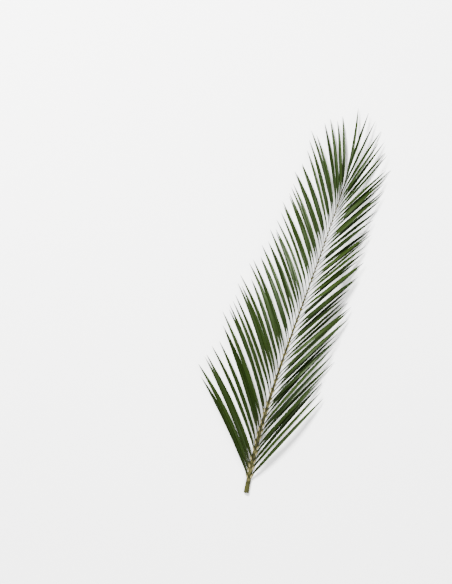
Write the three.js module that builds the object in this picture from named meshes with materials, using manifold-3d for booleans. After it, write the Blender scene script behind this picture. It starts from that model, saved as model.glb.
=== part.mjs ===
// A cut frond of a slender feather palm, lying on its back on a flat surface with its upper face up.
// One tapering rachis carries two ranks of narrow leaflets, each folded along its midrib into a
// shallow trough that opens upwards. Frond and leaflets grew as one piece, so they are one solid.
//
// Millimetres. +Z is up, +Y runs from the cut end to the tip and +X is to the right of it.
// The origin is the middle of the flat spot under the cut end.

import * as THREE from "three";
import { mergeVertices } from "three/addons/utils/BufferGeometryUtils.js";
import Module from "manifold-3d";

const DEGREES = Math.PI / 180;

// The rachis, from the cut end (t = 0) to its tip (t = 1).
const RACHIS_LENGTH = 567;
const CUT_BEHIND_ORIGIN = 7; // how far the cut end lies behind the origin
const BASE_WIDTH = 9.6;
const TIP_WIDTH = 1.6;
const BASE_DEPTH = 7.8;
const TIP_DEPTH = 2.3;
const TAPER_POWER = 2.1;
const ARCH_HEIGHT = 36; // how high the middle lifts off the surface
const ARCH_PEAK_AT = 0.6;
const SWAY_PEAK = 2.6 * DEGREES; // the heading in plan, which first leans left and then right
const SWAY_FALL = 21.6 * DEGREES;
const SWAY_PEAK_AT = 0.69;
const FLAT_SPOT_DIP = 0.6; // how far the round underside would sink before it is cut level
const RACHIS_STATIONS = 22;
const RACHIS_SIDES = 8;
const RIDGE_SHARE = 0.9; // the upper side of the rachis is flatter than the round underside

// The leaflets. Pairs of [place along the rachis, value]; the values ease from one to the next.
const LEAFLETS_PER_SIDE = 50;
const FIRST_LEAFLET_AT = 0.035;
const SIDE_OFFSET = 0.5; // the two ranks alternate by this share of the spacing
const CROWDING = 0.2; // share by which the spacing is wider at the cut end and closer at the tip
const LENGTHS = [[0, 197], [0.15, 200], [0.3, 190], [0.5, 154], [0.7, 140], [0.9, 149], [1, 143]];
const SPREADS = [[0, 34], [0.15, 31], [0.3, 32], [0.5, 34], [0.75, 35], [0.88, 30], [0.95, 18], [1, 2]];
const BOWS = [[0, 14], [0.3, 12], [0.6, 9], [1, 7]]; // degrees that a leaflet turns outwards over its length
const LEFT_SPREAD_MORE = 3.2; // degrees by which the left rank stands wider than the mean
const LEFT_LENGTH_MORE = 0.04;
const LEFT_BOW_MORE = 3;
const GATHER_LEAST = -1.2; // degrees by which neighbours in a group of leaflets lean together
const GATHER_MOST = 1.6;
const ROOT_ASIDE = 0.25; // share of the rachis' half width by which the roots keep from its middle
const ROOT_SINK = 0.25;
const SPREAD_JITTER = 1.6;
const BOW_JITTER = 3;
const LENGTH_JITTER = 0.065;
const RISE = 9; // how far a leaflet arches above the line from its root to its tip
const LAYERS = 3; // neighbours lie in turn in a low, a middle and an upper layer
const LAYER_RISE = 3.2;
const LAYER_LANDING = 3.4;
const LANDING_SPREAD = 1.6;

// The blade's section: two wings that rise from the midrib, which is the keel.
const WING_WIDTHS = [[0, 4.1], [0.4, 3.4], [0.7, 3.0], [1, 3.2]];
const LEFT_WING_MORE = 0.1;
const WING_ROOT_WIDTHS = [[0, 1.9], [0.35, 1.2], [0.55, 0.55], [1, 0.55]];
const WIDEST_FROM = [[0, 0.14], [0.4, 0.24], [1, 0.3]]; // share of the leaflet's length from which it has its full width
const WIDEST_TO = 0.5; // and the share up to which it keeps it
const TIP_TAPER_POWER = 1.8;
const WING_JITTER = 0.12;
const BLADE_THICKNESS = 0.62;
const FOLD_ROOT = 40; // degrees from the fold's middle plane to each wing
const FOLD_OPEN = 59;
const FOLD_JITTER = 10;
const FOLD_OPEN_AT = 0.4;
const ROOT_ROLL = 48; // degrees that the upper face turns towards the frond's tip at the root
const TWIST_JITTER = 30;
const BLADE_STATIONS = [0, 0.1, 0.3, 0.53, 0.77];
const SMALLEST_DETAIL = 0.04;
const SEED = 17.96;

const wasm = await Module();
wasm.setup();

// A repeatable number from 0 to 1 for leaflet n and draw k.
function draw(n, k) {
  const wave = Math.sin(n * 12.9898 + k * 78.233 + SEED) * 43758.5453;
  return wave - Math.floor(wave);
}

// The same from -1 to 1.
const swing = (n, k) => 2 * draw(n, k) - 1;

const smooth = (x) => x * x * (3 - 2 * x);

// The value at t of a list of [place, value] pairs, eased between neighbours.
function eased(pairs, t) {
  const next = Math.max(1, pairs.findIndex(([place]) => place >= t));
  const [t0, v0] = pairs[next - 1];
  const [t1, v1] = pairs[next];
  return v0 + (v1 - v0) * smooth(THREE.MathUtils.clamp((t - t0) / (t1 - t0), 0, 1));
}

// The centre line, half width, half depth and plan heading of the rachis at t.
function rachisAt(t) {
  const thin = (1 - t) ** TAPER_POWER;
  const halfWidth = (TIP_WIDTH + (BASE_WIDTH - TIP_WIDTH) * thin) / 2;
  const halfDepth = (TIP_DEPTH + (BASE_DEPTH - TIP_DEPTH) * thin) / 2;
  const fromPeak = t - SWAY_PEAK_AT;
  const heading = SWAY_PEAK - SWAY_FALL * fromPeak ** 2;
  const sway = SWAY_PEAK * t - (SWAY_FALL * (fromPeak ** 3 + SWAY_PEAK_AT ** 3)) / 3;
  const arch = ARCH_HEIGHT * Math.sin((Math.PI / 2) * (t / ARCH_PEAK_AT)) ** 2;
  const centre = new THREE.Vector3(
    RACHIS_LENGTH * sway,
    RACHIS_LENGTH * t - CUT_BEHIND_ORIGIN,
    halfDepth - FLAT_SPOT_DIP + arch,
  );
  return { centre, heading, halfWidth, halfDepth };
}

// A closed solid through rings of points, all with the same number of points and turning the same
// way. It ends in a flat cap, or in a point where tip is given.
function loft(rings, tip) {
  const sides = rings[0].length;
  const points = [...rings.flat(), ...(tip ? [tip] : [])];
  const faces = [];
  for (let r = 0; r + 1 < rings.length; r++)
    for (let k = 0; k < sides; k++) {
      const a = r * sides + k;
      const b = r * sides + ((k + 1) % sides);
      faces.push([a, b, b + sides], [a, b + sides, a + sides]);
    }
  const last = (rings.length - 1) * sides;
  for (let k = 1; k + 1 < sides; k++) {
    faces.push([0, k + 1, k]);
    if (!tip) faces.push([last, last + k, last + k + 1]);
  }
  if (tip)
    for (let k = 0; k < sides; k++) faces.push([last + k, last + ((k + 1) % sides), points.length - 1]);
  const geometry = new THREE.BufferGeometry().setFromPoints(points);
  geometry.setIndex(faces.flat());
  return geometry;
}

// The rachis as a loft of oval rings, a little flatter on top.
function rachisGeometry() {
  const rings = [];
  for (let i = 0; i < RACHIS_STATIONS; i++) {
    const { centre, heading, halfWidth, halfDepth } = rachisAt(i / (RACHIS_STATIONS - 1));
    const ring = [];
    for (let k = 0; k < RACHIS_SIDES; k++) {
      const angle = ((k + 0.5) / RACHIS_SIDES) * 2 * Math.PI;
      const across = halfWidth * Math.cos(angle);
      const up = halfDepth * Math.sin(angle) * (Math.sin(angle) > 0 ? RIDGE_SHARE : 1);
      ring.push(
        new THREE.Vector3(
          centre.x + across * Math.cos(heading),
          centre.y - across * Math.sin(heading),
          centre.z + up,
        ),
      );
    }
    rings.push(ring.reverse());
  }
  return loft(rings);
}

// What sets one leaflet apart: its place, direction, size, layer and twist. side is 1 on the right.
function leafletPlan(index, side) {
  const n = index * 2 + (side > 0 ? 1 : 0);
  const step = (index + (side > 0 ? SIDE_OFFSET : 0) + 0.25 * swing(n, 1)) / LEAFLETS_PER_SIDE;
  const crowded = step + (CROWDING * Math.sin(Math.PI * step)) / Math.PI;
  const t = FIRST_LEAFLET_AT + (1 - FIRST_LEAFLET_AT) * crowded;
  const place = index + (side > 0 ? 1 : 0);
  const layer = place % LAYERS;
  const group = Math.floor(place / LAYERS) * 2 + (side > 0 ? 1 : 0);
  const gathered = (layer - 1) * THREE.MathUtils.lerp(GATHER_LEAST, GATHER_MOST, draw(group, 8));
  return {
    side,
    rachis: rachisAt(t),
    length: eased(LENGTHS, t) * (1 - side * LEFT_LENGTH_MORE + LENGTH_JITTER * swing(n, 2)),
    bow: (eased(BOWS, t) - side * LEFT_BOW_MORE + BOW_JITTER * swing(n, 3)) * DEGREES,
    spread: (eased(SPREADS, t) - side * LEFT_SPREAD_MORE + gathered + SPREAD_JITTER * swing(n, 4)) * DEGREES,
    rise: RISE * (1 - 0.4 * t) + LAYER_RISE * layer,
    landing: LAYER_LANDING * layer + LANDING_SPREAD * draw(n, 5) ** 2,
    twist: TWIST_JITTER * swing(n, 6) * DEGREES,
    widest: eased(WIDEST_FROM, t),
    rootWing: eased(WING_ROOT_WIDTHS, t),
    wing: eased(WING_WIDTHS, t) * (1 - side * LEFT_WING_MORE + WING_JITTER * swing(n, 7)),
    fold: FOLD_OPEN + FOLD_JITTER * swing(n, 9),
  };
}

// Where the leaflet's midrib is at u, from its root (0) to its tip (1). In plan it is an arc, whose
// chord to u turns by half of the bow; upwards it arches, then settles towards the surface.
function midribAt(plan, u) {
  const { rachis, side, length, bow, spread } = plan;
  const reach = length * u * (1 - (bow * u) ** 2 / 24);
  const angle = rachis.heading + side * (spread - bow / 2 + (bow * u) / 2);
  const drop = (rachis.centre.z - plan.landing) * smooth(u);
  const aside = side * ROOT_ASIDE * rachis.halfWidth;
  return new THREE.Vector3(
    rachis.centre.x + aside * Math.cos(rachis.heading) + reach * Math.sin(angle),
    rachis.centre.y - aside * Math.sin(rachis.heading) + reach * Math.cos(angle),
    rachis.centre.z - ROOT_SINK * (1 - u) - drop + 4 * plan.rise * u * (1 - u),
  );
}

// The half width of the blade at u: narrow at the root, widest before the middle, then drawn out.
function wingAt(plan, u) {
  if (u < plan.widest)
    return THREE.MathUtils.lerp(plan.rootWing, plan.wing, smooth(u / plan.widest));
  const beyond = Math.max(0, (u - WIDEST_TO) / (1 - WIDEST_TO));
  return plan.wing * (1 - beyond ** TIP_TAPER_POWER);
}

// The blade as a loft of V-shaped rings that closes in a point.
function leafletGeometry(plan) {
  const step = 0.01;
  const rings = BLADE_STATIONS.map((u) => {
    const keel = midribAt(plan, u);
    const along = midribAt(plan, u + step).sub(midribAt(plan, u)).normalize();
    const flatDistal = new THREE.Vector3(-along.y, along.x, 0).multiplyScalar(plan.side).normalize();
    const flatNormal = new THREE.Vector3().crossVectors(along, flatDistal).multiplyScalar(plan.side);
    const roll = ROOT_ROLL * DEGREES * (1 - u) ** 2 + plan.twist * u;
    const distal = flatDistal.clone().multiplyScalar(Math.cos(roll)).addScaledVector(flatNormal, -Math.sin(roll));
    const normal = flatNormal.clone().multiplyScalar(Math.cos(roll)).addScaledVector(flatDistal, Math.sin(roll));
    const fold = (FOLD_ROOT + (plan.fold - FOLD_ROOT) * smooth(Math.min(1, u / FOLD_OPEN_AT))) * DEGREES;
    const wing = wingAt(plan, u);
    const half = BLADE_THICKNESS / Math.sin(fold) / 2;
    const point = (out, up) => keel.clone().addScaledVector(distal, out).addScaledVector(normal, up);
    const out = wing * Math.sin(fold);
    const up = wing * Math.cos(fold);
    const ring = [
      point(-out, up - half), point(0, -half), point(out, up - half),
      point(out, up + half), point(0, half), point(-out, up + half),
    ];
    return plan.side > 0 ? ring : ring.reverse();
  });
  return loft(rings, midribAt(plan, 1));
}

// A three.js geometry as a manifold solid.
function solidOf(geometry) {
  const merged = mergeVertices(geometry, 1e-4);
  return new wasm.Manifold(
    new wasm.Mesh({
      numProp: 3,
      vertProperties: new Float32Array(merged.attributes.position.array),
      triVerts: new Uint32Array(merged.index.array),
    }),
  );
}

// A manifold solid as a three.js geometry.
function geometryOf(solid) {
  const { vertProperties, triVerts } = solid.getMesh();
  const geometry = new THREE.BufferGeometry();
  geometry.setAttribute("position", new THREE.BufferAttribute(vertProperties, 3));
  geometry.setIndex(new THREE.BufferAttribute(triVerts, 1));
  geometry.computeVertexNormals();
  return geometry;
}

// The frond: every leaflet fused to the rachis, and the whole cut level where it lies. Of its shells
// the outermost is kept, so that pockets between crossing leaflets are filled.
function frondGeometry() {
  const solids = [solidOf(rachisGeometry())];
  for (const side of [-1, 1])
    for (let index = 0; index < LEAFLETS_PER_SIDE; index++)
      solids.push(solidOf(leafletGeometry(leafletPlan(index, side))));
  const levelled = wasm.Manifold.union(solids).trimByPlane([0, 0, 1], 0);
  const shells = levelled.asOriginal().simplify(SMALLEST_DETAIL).decompose();
  return geometryOf(shells.reduce((most, shell) => (shell.volume() > most.volume() ? shell : most)));
}

const leafGreen = new THREE.MeshStandardMaterial({ color: 0x2f4a1c, roughness: 0.45, metalness: 0 });
const frond = new THREE.Mesh(frondGeometry(), leafGreen);
frond.name = "frond";

const part = new THREE.Group();
part.add(frond);
export default part;
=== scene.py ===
"""A cut feather-palm frond, lying upper face up on a pale floor in soft studio light.

Metres, in the frame of the solid model: +Z is up, +Y runs from the cut end to the tip, and the
origin is on the level spot under the cut end. The rachis carries two ranks of narrow leaflets, each
folded along its midrib into a trough that opens upwards.
"""

from __future__ import annotations

import logging
from dataclasses import dataclass, field
from enum import Enum
from typing import Any, ClassVar

import bpy
import numpy as np
from mathutils import Euler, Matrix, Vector


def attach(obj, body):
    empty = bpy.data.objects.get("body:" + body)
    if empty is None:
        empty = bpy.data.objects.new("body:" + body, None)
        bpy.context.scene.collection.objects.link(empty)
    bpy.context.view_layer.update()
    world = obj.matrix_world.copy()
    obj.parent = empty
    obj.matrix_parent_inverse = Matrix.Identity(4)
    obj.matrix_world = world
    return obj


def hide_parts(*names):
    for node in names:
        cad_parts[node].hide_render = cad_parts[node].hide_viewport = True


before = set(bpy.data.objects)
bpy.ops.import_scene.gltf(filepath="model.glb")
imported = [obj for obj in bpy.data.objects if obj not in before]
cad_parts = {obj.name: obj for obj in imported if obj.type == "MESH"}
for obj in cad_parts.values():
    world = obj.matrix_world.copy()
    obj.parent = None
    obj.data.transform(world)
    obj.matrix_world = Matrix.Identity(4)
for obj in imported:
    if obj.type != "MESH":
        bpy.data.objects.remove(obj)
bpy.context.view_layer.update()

LOG = logging.getLogger("frond")
MM = 0.001
SHARP_FROM = float(np.radians(55.0))  # edges that turn further are shaded sharp
Array = np.ndarray
Places = tuple[tuple[float, float], ...]  # places along the rachis, each with its value
Colour = tuple[float, float, float]


def smooth(x: Array) -> Array:
    """Eases 0 to 1: three x squared less two x cubed."""
    return x * x * (3.0 - 2.0 * x)


def bell(x: Array) -> Array:
    """A bell of height 1 and width about 1: e to the power of minus x squared."""
    return np.exp(-(x**2))


def eased(pairs: Places, t: Array) -> Array:
    """The value at t of a row of places and values, eased between neighbours.

    Args:
        pairs: (place, value) in rising order of place.
        t: the places to read.

    Returns:
        The values at t.
    """
    places, values = np.array(pairs).T
    after = np.clip(np.searchsorted(places, t, side="left"), 1, len(places) - 1)
    before = after - 1
    part = np.clip((t - places[before]) / (places[after] - places[before]), 0.0, 1.0)
    return values[before] + (values[after] - values[before]) * smooth(part)


class Side(Enum):
    """The two ranks of leaflets, with the sign of X on their side."""

    LEFT = -1
    RIGHT = 1


class Trait(Enum):
    """What is drawn for each leaflet, with the number that tells its draws from the others."""

    PLACE = 1
    LENGTH = 2
    BOW = 3
    SPREAD = 4
    LANDING = 5
    TWIST = 6
    WIDTH = 7
    GATHER = 8
    FOLD = 9
    RIPPLE = 11
    TONE = 12
    AGE = 13
    BASE = 14


@dataclass(frozen=True)
class Draws:
    """Repeatable numbers for each leaflet: the fraction part of a large multiple of a sine."""

    seed: float = 17.96

    def draw(self, n: Array, trait: Trait) -> Array:
        """A number from 0 to 1 for leaflet n and one of its traits."""
        wave = np.sin(n * 12.9898 + trait.value * 78.233 + self.seed) * 43758.5453
        return wave - np.floor(wave)

    def swing(self, n: Array, trait: Trait) -> Array:
        """The same from -1 to 1."""
        return 2.0 * self.draw(n, trait) - 1.0


@dataclass(frozen=True)
class Grid:
    """A closed or open surface on a grid of points, with values carried by the points."""

    points: Array  # (copies, along, around, 3), metres
    values: dict[str, Array]  # name to (copies, along, around)
    around_closed: bool = True
    capped: tuple[bool, bool] = (True, True)  # whether the first and the last ring close in a fan

    def mesh(self, name: str, turned: Array | None = None) -> bpy.types.Object:
        """Puts the grid into a mesh object.

        Each cell becomes one quad and each cap a fan round the middle of its ring.

        Args:
            name: the object's name.
            turned: for each copy, whether its rings run the other way, so that faces turn outwards.

        Returns:
            The new object, linked to the scene.
        """
        copies, along, around = self.points.shape[:3]
        ids = np.arange(copies * along * around).reshape(copies, along, around)
        here, beside = ids, np.roll(ids, -1, axis=2)
        if not self.around_closed:
            here, beside = ids[:, :, :-1], ids[:, :, 1:]
        quads = np.stack([here[:, :-1], beside[:, :-1], beside[:, 1:], here[:, 1:]], axis=-1)
        points = [self.points.reshape(-1, 3)]
        values = {key: [value.reshape(-1)] for key, value in self.values.items()}
        fans = []
        count = ids.size
        for ring, wanted, flip in ((0, self.capped[0], True), (-1, self.capped[1], False)):
            if not wanted:
                continue
            middle = count + np.arange(copies)
            count += copies
            points.append(self.points[:, ring].mean(axis=1))
            for key, value in self.values.items():
                values[key].append(value[:, ring].mean(axis=1))
            first, second = ids[:, ring], np.roll(ids[:, ring], -1, axis=1)
            if flip:
                first, second = second, first
            centre = np.broadcast_to(middle[:, None], first.shape)
            fans.append(np.stack([first, second, centre], axis=-1))
        if turned is not None:
            quads[turned] = quads[turned][..., ::-1]
            for fan in fans:
                fan[turned] = fan[turned][..., ::-1]
        faces = quads.reshape(-1, 4).tolist()
        for fan in fans:
            faces += fan.reshape(-1, 3).tolist()
        mesh = bpy.data.meshes.new(name)
        mesh.from_pydata(np.concatenate(points).tolist(), [], faces)
        for key, parts in values.items():
            layer = mesh.attributes.new(key, "FLOAT", "POINT")
            layer.data.foreach_set("value", np.concatenate(parts).astype(np.float32))
        mesh.shade_smooth()
        mesh.set_sharp_from_angle(angle=SHARP_FROM)
        mesh.update()
        piece = bpy.data.objects.new(name, mesh)
        bpy.context.scene.collection.objects.link(piece)
        return piece


@dataclass(frozen=True)
class RachisLine:
    """The line and the thickness of the rachis, in millimetres, from its cut end (0) to its tip (1)."""

    length: float = 567.0
    cut_behind_origin: float = 7.0
    base_width: float = 9.6
    tip_width: float = 1.6
    base_depth: float = 7.8
    tip_depth: float = 2.3
    taper_power: float = 2.1
    arch_height: float = 36.0
    arch_peak_at: float = 0.6
    sway_peak: float = float(np.radians(2.6))
    sway_fall: float = float(np.radians(21.6))
    sway_peak_at: float = 0.69
    flat_spot_dip: float = 0.6

    def half_sizes(self, t: Array) -> tuple[Array, Array]:
        """Half the width and half the depth: the tip's, plus a share that falls as a power of 1 - t.

        Args:
            t: places along the rachis.

        Returns:
            Half the width and half the depth, in millimetres.
        """
        thin = (1.0 - t) ** self.taper_power
        width = self.tip_width + (self.base_width - self.tip_width) * thin
        depth = self.tip_depth + (self.base_depth - self.tip_depth) * thin
        return width / 2.0, depth / 2.0

    def heading(self, t: Array) -> Array:
        """The direction in plan, to the right of +Y: a parabola with its peak at sway_peak_at."""
        return self.sway_peak - self.sway_fall * (t - self.sway_peak_at) ** 2

    def centre(self, t: Array) -> Array:
        """The middle of the rachis.

        X is the integral of the heading, Y runs evenly, and Z is a squared sine that lifts the
        middle, on top of the half depth that keeps the underside on the surface.

        Args:
            t: places along the rachis.

        Returns:
            Points, (..., 3).
        """
        from_peak = t - self.sway_peak_at
        sway = self.sway_peak * t - self.sway_fall * (from_peak**3 + self.sway_peak_at**3) / 3.0
        arch = self.arch_height * np.sin(np.pi / 2.0 * t / self.arch_peak_at) ** 2
        depth = self.half_sizes(t)[1]
        return np.stack(
            [
                self.length * sway,
                self.length * t - self.cut_behind_origin,
                depth - self.flat_spot_dip + arch,
            ],
            axis=-1,
        )


@dataclass(frozen=True)
class LeafletRank:
    """One rank of leaflets: where each grows, how long it is, how it bends, folds and lies."""

    side: Side
    line: RachisLine = field(default_factory=RachisLine)
    draws: Draws = field(default_factory=Draws)
    count: int = 50
    first_at: float = 0.035
    side_offset: float = 0.5
    crowding: float = 0.2
    lengths: Places = ((0, 197), (0.15, 200), (0.3, 190), (0.5, 154), (0.7, 140), (0.9, 149), (1, 143))
    # angles from the rachis, in degrees, in its lower and its upper half
    low_spreads: Places = ((0, 34), (0.15, 31), (0.3, 32), (0.5, 34))
    high_spreads: Places = ((0.75, 35), (0.88, 30), (0.95, 18), (1, 2))
    bows: Places = ((0, 14), (0.3, 12), (0.6, 9), (1, 7))
    wings: Places = ((0, 4.1), (0.4, 3.4), (0.7, 3.0), (1, 3.2))
    left_spread_more: float = 3.2
    left_length_more: float = 0.04
    left_wing_more: float = 0.1
    left_bow_more: float = 3.0
    # painted shade: the share by which the left rank's green is made deeper
    left_painted_shade: float = 0.55
    gather_least: float = -1.2
    gather_most: float = 1.6
    place_jitter: float = 0.25  # in steps between neighbours
    root_aside: float = 0.25
    root_sink: float = 0.25
    spread_jitter: float = 1.6
    bow_jitter: float = 3.0
    length_jitter: float = 0.065
    rise: float = 9.0
    rise_less: float = 0.4  # the share of the rise that is lost towards the frond's tip
    layers: int = 3
    layer_rise: float = 3.2
    layer_landing: float = 3.4
    landing_spread: float = 1.6
    root_wings: Places = ((0, 1.9), (0.35, 1.2), (0.55, 0.55), (1, 0.55))
    widest_from: Places = ((0, 0.14), (0.4, 0.24), (1, 0.3))
    widest_to: float = 0.5
    tip_taper_power: float = 2.1
    wing_jitter: float = 0.12
    fold_root: float = 40.0
    fold_open: float = 59.0
    fold_jitter: float = 10.0
    fold_open_at: float = 0.4
    root_roll: float = 48.0
    twist_jitter: float = 30.0

    @property
    def index(self) -> Array:
        """The leaflets' places in their rank, counted from the cut end."""
        return np.arange(self.count)

    @property
    def key(self) -> Array:
        """The leaflets' numbers among both ranks, which the draws take."""
        return self.index * 2 + (1 if self.side is Side.RIGHT else 0)

    @property
    def turn(self) -> float:
        """The sign of X on this side."""
        return float(self.side.value)

    def roots(self) -> Array:
        """Where on the rachis each leaflet grows.

        Even shares, each moved by up to a quarter step, plus crowding times the sine of pi times the
        share over pi, which draws the leaflets together towards the tip.

        Returns:
            Places along the rachis.
        """
        offset = self.side_offset if self.side is Side.RIGHT else 0.0
        jitter = self.place_jitter * self.draws.swing(self.key, Trait.PLACE)
        share = (self.index + offset + jitter) / self.count
        crowded = share + self.crowding * np.sin(np.pi * share) / np.pi
        return self.first_at + (1.0 - self.first_at) * crowded

    def layer(self) -> Array:
        """Which of the layers, low to high, each leaflet lies in."""
        return (self.index + (1 if self.side is Side.RIGHT else 0)) % self.layers

    def bow(self) -> Array:
        """How far each leaflet turns outwards over its length, in radians."""
        jitter = self.bow_jitter * self.draws.swing(self.key, Trait.BOW)
        return np.radians(eased(self.bows, self.roots()) - self.turn * self.left_bow_more + jitter)

    def spread(self) -> Array:
        """The angle between the rachis and the line from root to tip, in radians.

        Neighbours of a group lean together by the same angle, so that their tips gather.

        Returns:
            One angle for each leaflet.
        """
        place = self.index + (1 if self.side is Side.RIGHT else 0)
        group = place // self.layers * 2 + (1 if self.side is Side.RIGHT else 0)
        share = self.draws.draw(group, Trait.GATHER)
        gather = self.gather_least + (self.gather_most - self.gather_least) * share
        lean = (self.layer() - 1) * gather + self.spread_jitter * self.draws.swing(self.key, Trait.SPREAD)
        spread = eased(self.low_spreads + self.high_spreads, self.roots())
        return np.radians(spread - self.turn * self.left_spread_more + lean)

    def length(self) -> Array:
        """Each leaflet's length in millimetres."""
        jitter = self.length_jitter * self.draws.swing(self.key, Trait.LENGTH)
        return eased(self.lengths, self.roots()) * (1.0 - self.turn * self.left_length_more + jitter)

    def tone(self) -> Array:
        """How light each leaflet's green is, from 0 to 1; the left rank's is made a little deeper as
        painted shade.
        """
        # painted shade: the left rank's tone is lowered, which deepens its green
        painted_shade = self.left_painted_shade if self.side is Side.LEFT else 0.0
        return self.draws.draw(self.key, Trait.TONE) * (1.0 - painted_shade)

    def midrib(self, u: Array) -> Array:
        """Where each midrib is at u, from its root (0) to its tip (1), in millimetres.

        In plan it is an arc whose chord turns by half of the bow. Upwards it is a parabola over a
        smooth fall to the surface.

        Args:
            u: places along each leaflet, (leaflets, stations).

        Returns:
            Points, (leaflets, stations, 3).
        """
        t = self.roots()
        root = self.line.centre(t)
        heading = self.line.heading(t)
        bow, spread = self.bow(), self.spread()
        rise = self.rise * (1.0 - self.rise_less * t) + self.layer_rise * self.layer()
        landing = self.layer_landing * self.layer()
        landing = landing + self.landing_spread * self.draws.draw(self.key, Trait.LANDING) ** 2
        column = np.s_[:, None]
        reach = self.length()[column] * u * (1.0 - (bow[column] * u) ** 2 / 24.0)
        angle = heading[column] + self.turn * (spread[column] - bow[column] * (1.0 - u) / 2.0)
        drop = (root[:, 2] - landing)[column] * smooth(u)
        aside = self.turn * self.root_aside * self.line.half_sizes(t)[0]
        lift = 4.0 * rise[column] * u * (1.0 - u) - self.root_sink * (1.0 - u)
        return np.stack(
            [
                (root[:, 0] + aside * np.cos(heading))[column] + reach * np.sin(angle),
                (root[:, 1] - aside * np.sin(heading))[column] + reach * np.cos(angle),
                root[:, 2][column] - drop + lift,
            ],
            axis=-1,
        )

    def wing(self, u: Array) -> Array:
        """Half the blade's width in millimetres: it swells to its widest, then is drawn out.

        Args:
            u: places along each leaflet.

        Returns:
            The width of one wing at each place.
        """
        jitter = self.wing_jitter * self.draws.swing(self.key, Trait.WIDTH)
        full = eased(self.wings, self.roots()) * (1.0 - self.turn * self.left_wing_more + jitter)
        full = full[:, None]
        widest = eased(self.widest_from, self.roots())[:, None]
        root = eased(self.root_wings, self.roots())[:, None]
        rising = root + (full - root) * smooth(np.clip(u / widest, 0.0, 1.0))
        beyond = np.clip((u - self.widest_to) / (1.0 - self.widest_to), 0.0, 1.0)
        return np.where(u < widest, rising, full * (1.0 - beyond**self.tip_taper_power))

    def fold(self, u: Array) -> Array:
        """The angle between the fold's middle plane and each wing, which eases open from the root.

        Args:
            u: places along each leaflet.

        Returns:
            The angle at each place, in radians.
        """
        full = (self.fold_open + self.fold_jitter * self.draws.swing(self.key, Trait.FOLD))[:, None]
        opened = smooth(np.clip(u / self.fold_open_at, 0.0, 1.0))
        return np.radians(self.fold_root + (full - self.fold_root) * opened)

    def axes(self, u: Array) -> tuple[Array, Array]:
        """The directions across the blade and out of its upper face.

        Both start level and upright, and roll about the midrib: towards the frond's tip at the
        root, and by the leaflet's own twist at its tip.

        Args:
            u: places along each leaflet.

        Returns:
            The unit vectors towards the frond's tip and out of the upper face.
        """
        step = 0.01
        along = self.midrib(u + step) - self.midrib(u)
        along /= np.linalg.norm(along, axis=-1, keepdims=True)
        level = np.stack([-along[..., 1], along[..., 0], np.zeros_like(u)], axis=-1) * self.turn
        level /= np.linalg.norm(level, axis=-1, keepdims=True)
        upright = np.cross(along, level) * self.turn
        twist = np.radians(self.twist_jitter * self.draws.swing(self.key, Trait.TWIST))[:, None]
        roll = (np.radians(self.root_roll) * (1.0 - u) ** 2 + twist * u)[..., None]
        across = level * np.cos(roll) - upright * np.sin(roll)
        out = upright * np.cos(roll) + level * np.sin(roll)
        return across, out


@dataclass
class SubAssembly:
    """A part of the frond that builds its own mesh, dresses it and ties it to the frame."""

    body: ClassVar[str] = "root"
    node: ClassVar[str] = "frond"
    slot: ClassVar[str] = "leaf"

    name: str
    material: bpy.types.Material

    def surface(self) -> Grid:
        """The part's surface, which each kind of part works out."""
        raise NotImplementedError

    def turned(self) -> Array | None:
        """For each copy, whether its rings run the other way; none do."""
        return None

    def dress(self, piece: bpy.types.Object) -> None:
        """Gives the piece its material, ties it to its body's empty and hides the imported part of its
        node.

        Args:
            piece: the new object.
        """
        piece.data.materials.append(self.material)
        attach(piece, self.body)
        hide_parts(self.node)

    def build(self) -> bpy.types.Object:
        """Builds the mesh and dresses it.

        Returns:
            The finished piece.
        """
        piece = self.surface().mesh(self.name, self.turned())
        self.dress(piece)
        return piece


@dataclass
class RankAssembly(SubAssembly):
    """A part that is repeated at every leaflet of one rank."""

    rank: LeafletRank

    def turned(self) -> Array:
        """The left rank is a mirrored one, so all of its rings run the other way."""
        return np.full(self.rank.count, self.rank.side is Side.LEFT)


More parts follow.
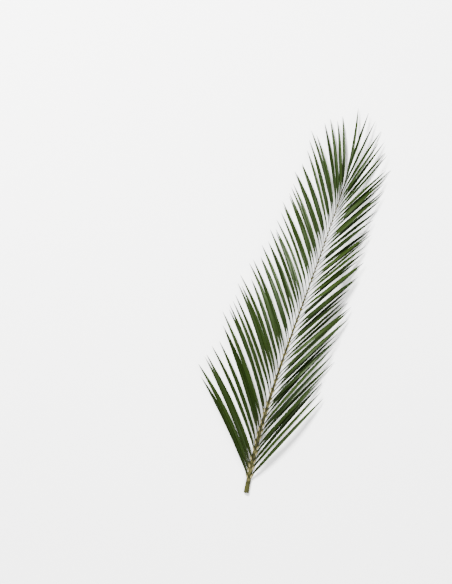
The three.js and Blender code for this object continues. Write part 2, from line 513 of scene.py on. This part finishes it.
@dataclass
class Blades(RankAssembly):
    """The leaflets of one rank as thin folded blades with a keel under the midrib."""

    stations: int = 30
    across_points: int = 9
    midrib_thickness: float = 0.62
    margin_thickness: float = 0.26
    keel_more: float = 1.25  # how much further the under face lies below the middle of the blade
    crease_round: float = 0.06  # how far the fold's crease is rounded, as a share of a wing
    arch_share: float = 0.07  # how far each wing bulges upwards, as a share of its width
    ripple: float = 0.22
    ripple_turns: float = 27.0
    ripple_lag: float = 1.6
    full_ripple_width: float = 3.0
    full_thickness_width: float = 1.2
    tip_thickness: float = 0.15  # the least share of the thickness
    end_at: float = 0.986
    crowding_to_ends: float = 0.35
    lowest: float = 0.02  # how far above the surface a blade that reaches it stays

    def places(self) -> Array:
        """Places along the blade: even shares less a full sine, so that they crowd to both ends.

        Returns:
            The same places for each leaflet, (leaflets, stations).
        """
        even = np.linspace(0.0, 1.0, self.stations)
        u = even - self.crowding_to_ends * np.sin(2.0 * np.pi * even) / (2.0 * np.pi)
        u = np.minimum(u, self.end_at)
        return np.broadcast_to(u, (self.rank.count, self.stations))

    def surface(self) -> Grid:
        """Works out the rank's blades.

        A point of the upper face lies at the midrib, plus the width times a across the blade, plus
        the height of the folded, slightly bulging wing out of it, plus a ripple that grows towards
        the margins. The under face lies one thickness below, which thins from the midrib to the
        margins. Where a blade reaches the surface that it lies on, it is pressed level.

        Returns:
            The grid of all blades.
        """
        rank = self.rank
        u = self.places()
        a = np.linspace(-1.0, 1.0, self.across_points)
        midrib = rank.midrib(u)[:, :, None, :]
        across, out = (v[:, :, None, :] for v in rank.axes(u))
        wing = rank.wing(u)[:, :, None]
        fold = rank.fold(u)[:, :, None]
        away = np.sqrt(a**2 + self.crease_round**2) - self.crease_round * (1.0 - np.abs(a))
        bulge = self.arch_share * wing * np.sin(np.pi * np.abs(a))
        phase = 2.0 * np.pi * rank.draws.draw(rank.key, Trait.RIPPLE)[:, None, None]
        turns = self.ripple_turns * u[:, :, None] + phase + self.ripple_lag * a
        wave = self.ripple * np.sin(turns) * a**2 * np.minimum(1.0, wing / self.full_ripple_width)
        outward = wing * np.sin(fold) * a - bulge * np.cos(fold) * np.sign(a)
        upward = wing * np.cos(fold) * away + bulge * np.sin(fold) + wave
        thicker = (self.midrib_thickness - self.margin_thickness) * (1.0 - np.abs(a)) ** 2
        half = (self.margin_thickness + thicker) / 2.0
        half = half * np.clip(wing / self.full_thickness_width, self.tip_thickness, 1.0)
        top = outward[..., None] * across + (upward + half)[..., None] * out + midrib
        under = outward[..., None] * across + (upward - self.keel_more * half)[..., None] * out + midrib
        under[..., 2] = np.maximum(under[..., 2], self.lowest)
        top[..., 2] = np.maximum(top[..., 2], self.lowest + self.margin_thickness / 3.0)
        points = np.concatenate([under, top[:, :, ::-1]], axis=2)
        shape = points.shape[:3]
        side_on = np.concatenate([a, a[::-1]])
        face = np.concatenate([np.ones_like(a), np.zeros_like(a)])
        reach = rank.length()[:, None] * u / 100.0
        values = {
            "along": np.broadcast_to(u[:, :, None], shape),
            "across": np.broadcast_to(side_on, shape),
            "under": np.broadcast_to(face, shape),
            "tone": np.broadcast_to(rank.tone()[:, None, None], shape),
            "age": np.broadcast_to(rank.draws.draw(rank.key, Trait.AGE)[:, None, None], shape),
            "reach": np.broadcast_to(reach[:, :, None], shape),
        }
        return Grid(points * MM, values)


@dataclass
class Swellings(RankAssembly):
    """The swollen bases by which the leaflets of one rank grow out of the rachis."""

    stations: int = 14
    sides: int = 12
    reach: float = 3.2
    reach_more: float = 2.3  # millimetres more for each millimetre of the rachis' half width
    size: float = 0.62
    size_more: float = 0.22  # millimetres more for each millimetre of the rachis' half width
    fullness: float = 1.95
    rise_power: float = 0.35
    fall_power: float = 0.55
    least_radius: float = 0.04
    wider: float = 1.1
    lift_share: float = 0.3
    size_jitter: float = 0.1

    def surface(self) -> Grid:
        """Works out the rank's leaf bases.

        Each is a bulb along the first millimetres of the midrib. Its radius is the product of a power
        of the place and a root of what is left of it, so that it rounds off quickly at the rachis and
        is drawn out towards the blade, and it grows with the thickness of the rachis.

        Returns:
            The grid of all bases.
        """
        rank = self.rank
        part = 0.5 - 0.5 * np.cos(np.linspace(0.0, np.pi, self.stations))
        width = rank.line.half_sizes(rank.roots())[0]
        u = part[None, :] * ((self.reach + self.reach_more * width) / rank.length())[:, None]
        across, out = (v[:, :, None, :] for v in rank.axes(u))
        midrib = rank.midrib(u)[:, :, None, :]
        size = (self.size + self.size_more * width)[:, None]
        radius = size * self.fullness * part**self.rise_power * (1.0 - part) ** self.fall_power
        radius = radius + self.least_radius
        radius = radius * (1.0 + self.size_jitter * rank.draws.swing(rank.key, Trait.BASE)[:, None])
        angle = np.arange(self.sides) / self.sides * 2.0 * np.pi
        ring = np.cos(angle)[:, None] * across * self.wider + np.sin(angle)[:, None] * out
        lift = self.lift_share * size[:, :, None, None] * out
        points = midrib + lift + radius[:, :, None, None] * ring
        shape = points.shape[:3]
        values = {
            "along": np.broadcast_to(rank.roots()[:, None, None], shape),
            "part": np.broadcast_to(part[None, :, None], shape),
            "tone": np.broadcast_to(rank.tone()[:, None, None], shape),
        }
        return Grid(points * MM, values)


@dataclass
class Rachis(SubAssembly):
    """The rachis, with its fibrous ribs and a low hump at each leaflet."""

    line: RachisLine
    ranks: list[LeafletRank]
    stations: int = 420
    sides: int = 28
    ridge_share: float = 0.9
    fullness: float = 0.965
    rib: float = 0.035
    rib_count: float = 9.0
    rib_wander: float = 3.0
    rib_wander_turns: float = 11.0
    hump: float = 0.34
    hump_reach: float = 3.4
    hump_aside: float = float(np.radians(28.0))
    hump_width: float = 0.85
    full_hump_width: float = 2.2

    def surface(self) -> Grid:
        """Works out the rachis.

        Each ring is an oval, flatter on top, whose radius carries fine ribs round it and a bell-shaped
        hump at each leaflet's root. The underside is cut level at the surface.

        Returns:
            The grid of the rachis.
        """
        t = np.linspace(0.0, 1.0, self.stations)
        angle = (np.arange(self.sides) + 0.5) / self.sides * 2.0 * np.pi
        half_width, half_depth = self.line.half_sizes(t)
        heading = self.line.heading(t)
        centre = self.line.centre(t)
        wander = self.rib_wander * np.sin(self.rib_wander_turns * t)[:, None]
        ribs = 1.0 + self.rib * np.sin(self.rib_count * angle[None, :] + wander)
        humps = np.zeros((self.stations, self.sides))
        for rank in self.ranks:
            facing = np.pi / 2.0 - rank.turn * self.hump_aside
            away = (t[:, None] - rank.roots()[None, :]) * self.line.length / self.hump_reach
            aside = np.angle(np.exp(1j * (angle - facing))) / self.hump_width
            humps += bell(away).sum(axis=1)[:, None] * bell(aside)[None, :]
        share = np.minimum(1.0, half_width / self.full_hump_width) / np.maximum(1.0, half_width)
        radius = self.fullness * ribs * (1.0 + self.hump * humps * share[:, None])
        flatter = np.where(np.sin(angle) > 0.0, self.ridge_share, 1.0)
        sideways = half_width[:, None] * np.cos(angle) * radius
        upwards = half_depth[:, None] * np.sin(angle) * flatter * radius
        points = np.stack(
            [
                centre[:, 0:1] + sideways * np.cos(heading)[:, None],
                centre[:, 1:2] - sideways * np.sin(heading)[:, None],
                centre[:, 2:3] + upwards,
            ],
            axis=-1,
        )
        points[..., 2] = np.maximum(points[..., 2], 0.0)
        points = points[None, :, ::-1]
        shape = points.shape[:3]
        values = {
            "along": np.broadcast_to(t[None, :, None], shape),
            "hump": np.broadcast_to(humps[None, :, ::-1], shape),
            "round": np.broadcast_to(angle[::-1] / (2.0 * np.pi), shape),
        }
        return Grid(points * MM, values)


@dataclass
class CutEnd(SubAssembly):
    """The cut across the rachis: a slightly rough face with the ends of its fibres."""

    line: RachisLine
    rings: int = 12
    sides: int = 28
    fullness: float = 0.965
    ridge_share: float = 0.9
    edge_share: float = 0.995
    middle_share: float = 0.02
    tucked_share: float = 0.93
    tucked_depth: float = 2.4
    proud: float = 0.3
    coarse_grain: float = 0.16
    coarse_turns: tuple[float, float] = (5.1, 6.3)
    coarse_start: float = 1.0
    fine_grain: float = 0.1
    fine_turns: float = 13.0
    lowest: float = 0.02

    def surface(self) -> Grid:
        """Works out the cut face.

        A disc of rings that shrink to the middle. Each point stands out of the cut by a small height
        made of crossed sines, and the outermost ring is tucked just inside the rachis.

        Returns:
            The grid of the cut face.
        """
        angle = (np.arange(self.sides) + 0.5) / self.sides * 2.0 * np.pi
        rings = np.linspace(self.edge_share, self.middle_share, self.rings)
        share = np.concatenate([[self.tucked_share], rings])
        start = np.zeros(1)
        half_width, half_depth = (size[0] for size in self.line.half_sizes(start))
        heading = self.line.heading(start)[0]
        centre = self.line.centre(start)[0]
        flatter = np.where(np.sin(angle) > 0.0, self.ridge_share, 1.0)
        sideways = half_width * self.fullness * share[:, None] * np.cos(angle)
        upwards = half_depth * self.fullness * share[:, None] * np.sin(angle) * flatter
        turns = sideways * self.coarse_turns[0] + self.coarse_start
        grain = self.coarse_grain * np.sin(turns) * np.sin(upwards * self.coarse_turns[1])
        grain = grain + self.fine_grain * np.sin(sideways * self.fine_turns)
        proud = self.proud + grain * (1.0 - share[:, None] ** 4)
        proud[0] = -self.tucked_depth
        points = np.stack(
            [
                centre[0] + sideways * np.cos(heading) - proud * np.sin(heading),
                centre[1] - sideways * np.sin(heading) - proud * np.cos(heading),
                np.maximum(centre[2] + upwards, self.lowest),
            ],
            axis=-1,
        )[None]
        shape = points.shape[:3]
        values = {"share": np.broadcast_to(share[None, :, None], shape)}
        return Grid(points * MM, values)


class Term:
    """One output socket in a node tree, with arithmetic that adds Math nodes."""

    def __init__(self, kit: "NodeKit", socket: bpy.types.NodeSocket) -> None:
        self.kit = kit
        self.socket = socket

    def _math(self, operation: str, first: Any, second: Any = None) -> "Term":
        """Adds a Math node.

        Args:
            operation: the node's operation.
            first: its first input.
            second: its second input, where it has one.

        Returns:
            The node's result.
        """
        inputs = {0: first} if second is None else {0: first, 1: second}
        return self.kit.node("ShaderNodeMath", {"operation": operation}, inputs)

    def __add__(self, other: Any) -> "Term":
        """The sum."""
        return self._math("ADD", self, other)

    def __radd__(self, other: Any) -> "Term":
        """The sum, from the right."""
        return self._math("ADD", other, self)

    def __sub__(self, other: Any) -> "Term":
        """The difference."""
        return self._math("SUBTRACT", self, other)

    def __rsub__(self, other: Any) -> "Term":
        """The difference, from the right."""
        return self._math("SUBTRACT", other, self)

    def __mul__(self, other: Any) -> "Term":
        """The product."""
        return self._math("MULTIPLY", self, other)

    def __rmul__(self, other: Any) -> "Term":
        """The product, from the right."""
        return self._math("MULTIPLY", other, self)

    def __abs__(self) -> "Term":
        """The size without its sign."""
        return self._math("ABSOLUTE", self)

    def sine(self) -> "Term":
        """The sine."""
        return self._math("SINE", self)

    def within(self) -> "Term":
        """The value held between 0 and 1."""
        return self.kit.node("ShaderNodeClamp", {}, {"Value": self, "Min": 0.0, "Max": 1.0})

    def step(self, low: float, high: float) -> "Term":
        """Eases from 0 to 1.

        Args:
            low: the value at which it leaves 0.
            high: the value at which it reaches 1.

        Returns:
            The eased value.
        """
        settings = {"interpolation_type": "SMOOTHSTEP"}
        inputs = {"Value": self, "From Min": low, "From Max": high, "To Min": 0.0, "To Max": 1.0}
        return self.kit.node("ShaderNodeMapRange", settings, inputs)


class NodeKit:
    """Builds one material's node tree round a Principled shader."""

    def __init__(self, name: str) -> None:
        """Starts an empty material.

        Args:
            name: the material's name.
        """
        self.material = bpy.data.materials.new(name)
        self.material.use_nodes = True
        self.tree = self.material.node_tree
        self.tree.nodes.clear()
        self.shader = self.tree.nodes.new("ShaderNodeBsdfPrincipled")
        output = self.tree.nodes.new("ShaderNodeOutputMaterial")
        self.tree.links.new(self.shader.outputs["BSDF"], output.inputs["Surface"])

    def fill(self, node: bpy.types.Node, inputs: dict[Any, Any]) -> None:
        """Sets or links a node's inputs.

        Args:
            node: the node.
            inputs: values or terms, by the sockets' names or places.
        """
        for key, value in inputs.items():
            if isinstance(value, Term):
                self.tree.links.new(value.socket, node.inputs[key])
            else:
                node.inputs[key].default_value = value

    def node(self, kind: str, settings: dict[str, Any], inputs: dict[Any, Any], output: Any = 0) -> Term:
        """Adds a node.

        Args:
            kind: its type.
            settings: its own values, which are set first.
            inputs: values or terms for its input sockets.
            output: which of its outputs is wanted.

        Returns:
            That output.
        """
        node = self.tree.nodes.new(kind)
        for key, value in settings.items():
            setattr(node, key, value)
        self.fill(node, inputs)
        return Term(self, node.outputs[output])

    def value(self, name: str) -> Term:
        """Reads one of the piece's own point values."""
        settings = {"attribute_type": "GEOMETRY", "attribute_name": name}
        return self.node("ShaderNodeAttribute", settings, {}, "Fac")

    def place(self) -> Term:
        """The piece's own coordinates, in metres."""
        return self.node("ShaderNodeTexCoord", {}, {}, "Object")

    def stretched(self, scale: tuple[float, float, float]) -> Term:
        """The piece's own coordinates times a scale along each axis."""
        return self.node("ShaderNodeMapping", {}, {"Vector": self.place(), "Scale": scale})

    def noise(self, vector: Term, scale: float, detail: float = 3.0, rough: float = 0.55) -> Term:
        """Cloudy noise from about 0 to 1."""
        inputs = {"Vector": vector, "Scale": scale, "Detail": detail, "Roughness": rough}
        return self.node("ShaderNodeTexNoise", {}, inputs, "Fac")

    def vector(self, x: Any, y: Any, z: Any) -> Term:
        """Three values as one vector."""
        return self.node("ShaderNodeCombineXYZ", {}, {"X": x, "Y": y, "Z": z})

    @staticmethod
    def colour(value: Any) -> Any:
        """A plain colour as a socket takes it; anything else as it is."""
        return (*value, 1.0) if isinstance(value, tuple) else value

    def mix(self, share: Any, first: Any, second: Any) -> Term:
        """Mixes two colours.

        Args:
            share: how much of the second, from 0 to 1.
            first: a colour or a term.
            second: a colour or a term.

        Returns:
            The mixed colour.
        """
        inputs = {0: share, 6: self.colour(first), 7: self.colour(second)}
        return self.node("ShaderNodeMix", {"data_type": "RGBA"}, inputs, 2)

    def bump(self, height: Term, strength: float, distance: float) -> Term:
        """Turns a height into a normal."""
        inputs = {"Strength": strength, "Distance": distance, "Height": height}
        return self.node("ShaderNodeBump", {}, inputs, "Normal")

    def finish(self, **sockets: Any) -> bpy.types.Material:
        """Fills the shader's sockets.

        Args:
            sockets: colours, values or terms by the sockets' names, with underscores for spaces.

        Returns:
            The finished material.
        """
        for key, value in sockets.items():
            plain = self.colour(value) if key == "Base_Color" else value
            self.fill(self.shader, {key.replace("_", " "): plain})
        return self.material


@dataclass(frozen=True)
class LeafFinish:
    """The leaflets' finish: deep green, paler at the fold and margins, brownish at root and tip."""

    deep: Colour = (0.0012, 0.0048, 0.0002)
    fresh: Colour = (0.0057, 0.0150, 0.00085)
    underside: Colour = (0.017, 0.028, 0.008)
    rib: Colour = (0.028, 0.038, 0.009)
    root: Colour = (0.008, 0.0085, 0.0023)
    joint: Colour = (0.027, 0.025, 0.008)
    dry: Colour = (0.012, 0.009, 0.0045)
    sheen: Colour = (0.72, 1.0, 0.5)
    gloss: float = 0.095
    fine_veins: float = 46.0
    coarse_veins: float = 15.0

    def build(self) -> bpy.types.Material:
        """Builds the material.

        Colour runs with each leaflet's own tone, which on the left rank is lowered as painted shade, and a
        slow noise.
        Fine lines run along the blade, as sines of the place across it, in the colour and the bump.

        Returns:
            The material.
        """
        kit = NodeKit("leaf_green")
        along, across, under = kit.value("along"), kit.value("across"), kit.value("under")
        tone, age, reach = kit.value("tone"), kit.value("age"), kit.value("reach")
        strip = kit.vector(reach * 3.0 + tone * 40.0, across * 1.4, tone * 17.0)
        cloud = kit.noise(strip, 2.2)
        veins = (across * self.fine_veins).sine() * 0.5 + 0.5
        coarse = (across * self.coarse_veins + tone * 6.0).sine() * 0.5 + 0.5
        streak = kit.noise(kit.vector(reach * 1.2 + tone * 31.0, across * 9.0, age * 11.0), 3.0, 4.0)
        fresh = (tone * 0.9 + cloud * 0.9 - 0.5).within()
        body = kit.mix(fresh, self.deep, self.fresh)
        lines = veins * 0.12 + coarse * 0.10 + streak.step(0.45, 0.75) * 0.22
        body = kit.mix(lines * (0.5 + tone), body, self.rib)
        edge = abs(across)
        crease = 1.0 - edge.step(0.0, 0.13)
        margin = edge.step(0.86, 1.0)
        body = kit.mix(crease * 0.5 + margin * 0.28, body, self.rib)
        body = kit.mix(under, body, self.underside)
        brown = 1.0 - along.step(0.05, 0.22)
        body = kit.mix(brown * 0.8, body, self.root)
        body = kit.mix((1.0 - along.step(0.008, 0.03)) * 0.8, body, self.joint)
        withered = (along.step(0.90, 1.0) * (age.step(0.45, 0.9) * 0.85 + 0.1)).within()
        body = kit.mix(withered, body, self.dry)
        relief = veins * 0.35 + coarse * 0.4 + streak * 0.5
        rough = 0.34 + cloud * 0.14 + under * 0.16 + streak * 0.08
        return kit.finish(
            Base_Color=body,
            Roughness=rough,
            Coat_Weight=0.03 * (1.0 - under),
            Coat_Roughness=0.28,
            Specular_IOR_Level=self.gloss,
            Specular_Tint=kit.colour(self.sheen),
            Normal=kit.bump(relief, 0.5, 0.00016),
        )


@dataclass(frozen=True)
class RachisFinish:
    """The finish of the rachis: straw olive and fibrous at its base, a thin dark olive line above."""

    straw: Colour = (0.026, 0.027, 0.0054)
    olive: Colour = (0.007, 0.0085, 0.0015)
    # the colour of the dark fibre streaks, and also of the painted shade between the leaf bases
    dark_fibre_and_shade: Colour = (0.0054, 0.005, 0.0015)
    hump: Colour = (0.085, 0.075, 0.028)
    sheen: Colour = (1.0, 0.97, 0.7)
    gloss: float = 0.12
    fibre_lines: float = 220.0

    def build(self) -> bpy.types.Material:
        """Builds the material: straw to olive along the rachis, with painted shade between the leaf bases.

        Patches and streaks run along it, and the humps are paler.

        Returns:
            The material.
        """
        kit = NodeKit("rachis_straw")
        along, hump, turn = kit.value("along"), kit.value("hump"), kit.value("round")
        fibre = kit.noise(kit.stretched((900.0, 45.0, 900.0)), 1.0, 4.0)
        patch = kit.noise(kit.place(), 60.0)
        body = kit.mix(along.step(0.0, 0.2), self.straw, self.olive)
        body = kit.mix(patch.step(0.45, 0.62) * 0.55, body, self.olive)
        # painted shade: darker where the hump is low, in the gaps between the leaf bases
        painted_shade_between = (1.0 - hump.step(0.15, 0.8)) * along.step(0.03, 0.08)
        body = kit.mix(painted_shade_between * 0.85, body, self.dark_fibre_and_shade)
        low = 1.0 - along.step(0.3, 0.7)
        body = kit.mix((hump.step(0.55, 1.2) * low * 0.6).within(), body, self.hump)
        body = kit.mix(fibre.step(0.46, 0.62) * 0.7, body, self.dark_fibre_and_shade)
        lines = (turn * self.fibre_lines).sine() * 0.5 + 0.5
        relief = fibre * 0.8 + lines * 0.2
        return kit.finish(
            Base_Color=body,
            Roughness=0.46 + fibre * 0.2,
            Specular_IOR_Level=self.gloss,
            Specular_Tint=kit.colour(self.sheen),
            Normal=kit.bump(relief, 0.5, 0.0002),
        )


@dataclass(frozen=True)
class SwellingFinish:
    """The finish of the leaflets' swollen bases: cream to straw below, brown olive above."""

    cream: Colour = (0.24, 0.205, 0.095)
    brown: Colour = (0.0154, 0.0123, 0.0046)
    green: Colour = (0.010, 0.014, 0.0023)
    sheen: Colour = (1.0, 0.9, 0.5)
    gloss: float = 0.12

    def build(self) -> bpy.types.Material:
        """Builds the material: cream that browns along the frond and greens towards the blade.

        Returns:
            The material.
        """
        kit = NodeKit("leaf_base_cream")
        along, part, tone = kit.value("along"), kit.value("part"), kit.value("tone")
        patch = kit.noise(kit.place(), 420.0)
        browned = (along.step(0.2, 0.8) * 0.8 + patch * 0.35 - 0.1).within()
        body = kit.mix(browned, self.cream, self.brown)
        body = kit.mix((part.step(0.3, 0.95) * 0.85).within(), body, self.green)
        body = kit.mix((patch.step(0.52, 0.7) * tone * 0.6).within(), body, self.brown)
        return kit.finish(
            Base_Color=body,
            Roughness=0.5 + patch * 0.2,
            Specular_IOR_Level=self.gloss,
            Specular_Tint=kit.colour(self.sheen),
            Normal=kit.bump(patch, 0.4, 0.00025),
        )


@dataclass(frozen=True)
class CutFinish:
    """The finish of the cut face: pale pith with the darker ends of fibres."""

    pith: Colour = (0.10, 0.085, 0.035)
    fibre: Colour = (0.027, 0.018, 0.007)
    rind: Colour = (0.023, 0.023, 0.006)

    def build(self) -> bpy.types.Material:
        """Builds the material: pale pith, dots from a cell pattern, and a darker rind.

        Returns:
            The material.
        """
        kit = NodeKit("cut_pith")
        flat = kit.stretched((1.0, 0.0, 1.0))
        cells = kit.node("ShaderNodeTexVoronoi", {}, {"Vector": flat, "Scale": 1150.0}, "Distance")
        dots = 1.0 - cells.step(0.2, 0.42)
        cloud = kit.noise(flat, 500.0)
        body = kit.mix((dots * 0.75 + cloud * 0.2).within(), self.pith, self.fibre)
        body = kit.mix(kit.value("share").step(0.82, 0.98), body, self.rind)
        return kit.finish(Base_Color=body, Roughness=0.75 - dots * 0.1, Normal=kit.bump(dots, 0.6, 0.0002))


@dataclass(frozen=True)
class FloorFinish:
    """The finish of the floor: a pale matt surface with a hardly seen unevenness."""

    pale: Colour = (0.89, 0.885, 0.875)
    paler: Colour = (0.92, 0.917, 0.91)

    def build(self) -> bpy.types.Material:
        """Builds the material: two pale tones mixed by a wide noise.

        Returns:
            The material.
        """
        kit = NodeKit("floor_pale")
        body = kit.mix(kit.noise(kit.place(), 1.3), self.pale, self.paler)
        return kit.finish(Base_Color=body, Roughness=0.9)


@dataclass
class Studio:
    """The pale floor, the soft lights and the camera that looks straight down."""

    picture_tilt: float = 17.6  # degrees by which the frond leans to the right in the picture
    base_in_picture: tuple[float, float] = (246.3, 494.2)
    picture: tuple[float, float] = (452.0, 584.0)
    mm_per_pixel: float = 1.759
    height: float = 2.2
    plane: float = 0.02  # the height at which the picture's scale holds
    sensor: float = 36.0
    floor_half: float = 6.0
    floor_lines: int = 13
    floor_below: float = 0.0002
    aim: tuple[float, float, float] = (0.0, 0.33, 0.0)
    sky: float = 0.65

    def floor(self) -> bpy.types.Object:
        """Lays the floor: a large level grid just below the surface that the frond rests on.

        Returns:
            The floor.
        """
        lines = np.linspace(-self.floor_half, self.floor_half, self.floor_lines)
        x, y = np.meshgrid(lines, lines, indexing="ij")
        points = np.stack([x, y, np.full_like(x, -self.floor_below)], axis=-1)[None]
        grid = Grid(points, {}, around_closed=False, capped=(False, False))
        floor = grid.mesh("floor", np.array([True]))
        floor.data.materials.append(FloorFinish().build())
        return floor

    def light(self, name: str, place: tuple[float, float, float], size: float, watts: float) -> None:
        """Hangs a square soft light that faces the middle of the frond.

        Args:
            name: its name.
            place: where it hangs, in metres.
            size: its side in metres.
            watts: its power.
        """
        data = bpy.data.lights.new(name, "AREA")
        data.shape = "SQUARE"
        data.size = size
        data.energy = watts
        lamp = bpy.data.objects.new(name, data)
        lamp.location = place
        lamp.rotation_euler = self.facing(np.array(self.aim) - np.array(place))
        bpy.context.scene.collection.objects.link(lamp)

    @staticmethod
    def facing(aim: Array) -> Euler:
        """The turn that points an object's -Z along aim."""
        return Vector(aim.tolist()).to_track_quat("-Z", "Y").to_euler()

    def lights(self) -> None:
        """Hangs a large key light, a wide fill and an even sky."""
        self.light("key", (-1.5, 1.7, 2.2), 0.8, 546.0)
        self.light("fill", (1.7, -0.5, 2.6), 2.4, 195.0)
        world = bpy.data.worlds.new("sky")
        world.use_nodes = True
        sky = world.node_tree.nodes["Background"]
        sky.inputs["Color"].default_value = (0.96, 0.98, 1.0, 1.0)
        sky.inputs["Strength"].default_value = self.sky
        bpy.context.scene.world = world

    def camera(self, cut: Array) -> None:
        """Sets the camera so that the frond lies in the picture as it does in the photograph.

        The middle of the picture lies, from the cut end, a number of pixels across and up that are
        turned by the frond's lean and scaled to millimetres.

        Args:
            cut: the middle of the cut end in plan, in metres.
        """
        tilt = np.radians(self.picture_tilt)
        right = np.array([np.cos(tilt), np.sin(tilt)])
        up = np.array([-np.sin(tilt), np.cos(tilt)])
        across = (self.picture[0] / 2.0 - self.base_in_picture[0]) * self.mm_per_pixel * MM
        upwards = (self.base_in_picture[1] - self.picture[1] / 2.0) * self.mm_per_pixel * MM
        middle = cut + across * right + upwards * up
        data = bpy.data.cameras.new("camera")
        data.sensor_width = self.sensor
        tall = self.picture[1] * self.mm_per_pixel * MM
        data.lens = self.sensor * (self.height - self.plane) / tall
        camera = bpy.data.objects.new("camera", data)
        camera.location = (float(middle[0]), float(middle[1]), self.height)
        camera.rotation_euler = (0.0, 0.0, float(tilt))
        bpy.context.scene.collection.objects.link(camera)
        bpy.context.scene.camera = camera


def main() -> None:
    """Builds the studio, then the frond's parts in order, and reports each piece."""
    logging.basicConfig(level=logging.INFO, format="%(name)s: %(message)s")
    line = RachisLine()
    ranks = {side: LeafletRank(side, line) for side in Side}
    studio = Studio()
    studio.camera(line.centre(np.zeros(1))[0, :2] * MM)
    studio.lights()
    pieces = [studio.floor()]
    leaf, swelling = LeafFinish().build(), SwellingFinish().build()
    parts: list[SubAssembly] = [
        Rachis("rachis", RachisFinish().build(), line, list(ranks.values())),
        CutEnd("cut_end", CutFinish().build(), line),
    ]
    for side, rank in ranks.items():
        word = side.name.lower()
        parts += [Blades(f"leaflets_{word}", leaf, rank), Swellings(f"leaf_bases_{word}", swelling, rank)]
    pieces += [part.build() for part in parts]
    for piece in pieces:
        LOG.info("%s: %d points, %d faces", piece.name, len(piece.data.vertices), len(piece.data.polygons))


if __name__ == "__main__":
    main()
